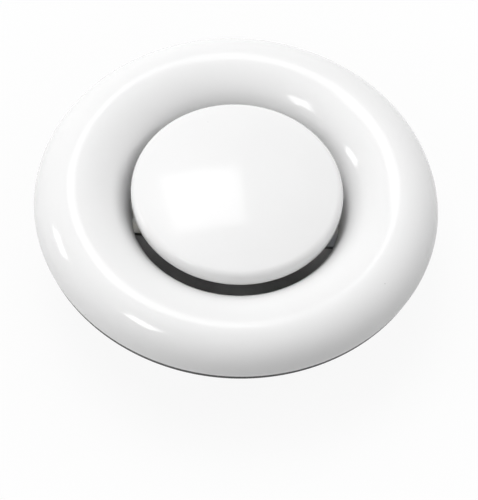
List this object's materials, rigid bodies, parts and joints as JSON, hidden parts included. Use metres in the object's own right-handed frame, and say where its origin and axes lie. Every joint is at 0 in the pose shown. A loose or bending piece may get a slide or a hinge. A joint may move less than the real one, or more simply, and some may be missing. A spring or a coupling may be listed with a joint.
{
  "type": "ventilation disc valve",
  "caption": "Round exhaust disc valve: bulged white face ring, screw-adjusted disc in its throat, foam gasket behind the rim, and a duct neck with clamp springs.",
  "frame": {"origin": "on the valve's axis, at the rear edge of the neck, where the valve stands when it lies on its back", "axes": "+Z along the valve's axis, out of its face into the room; +X along the cross bar behind the throat"},
  "size_m": [0.138, 0.138, 0.044],
  "materials": {
    "white_enamel": "glossy white powder coat with fine specks",
    "grey_foam": "matt grey closed-cell foam",
    "galvanised_sheet": "galvanised, faint spangle",
    "zinc_plated_steel": "bright zinc plating",
    "spring_steel": "rolled spring strip",
    "rivet_aluminium": "satin"
  },
  "bodies": {
    "root": {"valve_ring": "white_enamel", "ring_gasket": "grey_foam", "neck_sleeve": "galvanised_sheet", "cross_bar": "zinc_plated_steel", "bar_rivet_1": "rivet_aluminium", "bar_rivet_2": "rivet_aluminium", "bar_rivet_3": "rivet_aluminium", "bar_rivet_4": "rivet_aluminium", "spindle_nut": "zinc_plated_steel", "spring_rivet_1": "rivet_aluminium", "spring_rivet_2": "rivet_aluminium", "spring_rivet_3": "rivet_aluminium"},
    "boss": {"disc_boss": "zinc_plated_steel"},
    "disc": {"valve_disc": "white_enamel", "spindle": "zinc_plated_steel"},
    "washer": {"lock_washer": "zinc_plated_steel"},
    "nut": {"lock_nut": "zinc_plated_steel"},
    "clamp_1": {"clamp_spring_1": "spring_steel"},
    "clamp_2": {"clamp_spring_2": "spring_steel"},
    "clamp_3": {"clamp_spring_3": "spring_steel"}
  },
  "joints": [
    {"name": "disc_travel", "type": "slide", "parent": "root", "child": "boss", "axis": [0, 0, 1], "range_m": [-0.0075, 0.0075]},
    {"name": "disc_turn", "type": "hinge", "parent": "boss", "child": "disc", "pos_m": [0, 0, 0.0419], "axis": [0, 0, 1], "range_deg": [-2700, 2700]},
    {"name": "lock_nut_travel", "type": "slide", "parent": "root", "child": "washer", "axis": [0, 0, 1], "range_m": [-0.002, 0]},
    {"name": "lock_nut_turn", "type": "hinge", "parent": "washer", "child": "nut", "pos_m": [0, 0, 0.0172], "axis": [0, 0, 1], "range_deg": [-720, 0]},
    {"name": "clamp_flex_1", "type": "hinge", "parent": "root", "child": "clamp_1", "pos_m": [0, 0.0472, 0.01475], "axis": [-1, 0, 0], "range_deg": [0, 9], "stiffness_Nm_per_rad": 0.67},
    {"name": "clamp_flex_2", "type": "hinge", "parent": "root", "child": "clamp_2", "pos_m": [-0.04088, -0.0236, 0.01475], "axis": [0.5, -0.866, 0], "range_deg": [0, 9], "stiffness_Nm_per_rad": 0.67},
    {"name": "clamp_flex_3", "type": "hinge", "parent": "root", "child": "clamp_3", "pos_m": [0.04088, -0.0236, 0.01475], "axis": [0.5, 0.866, 0], "range_deg": [0, 9], "stiffness_Nm_per_rad": 0.67}
  ],
  "couplings": [
    {"joint": "disc_travel", "follows": "disc_turn", "m_per_rad": 0.00015915},
    {"joint": "lock_nut_turn", "follows": "lock_nut_travel", "rad_per_m": 6283.2}
  ]
}
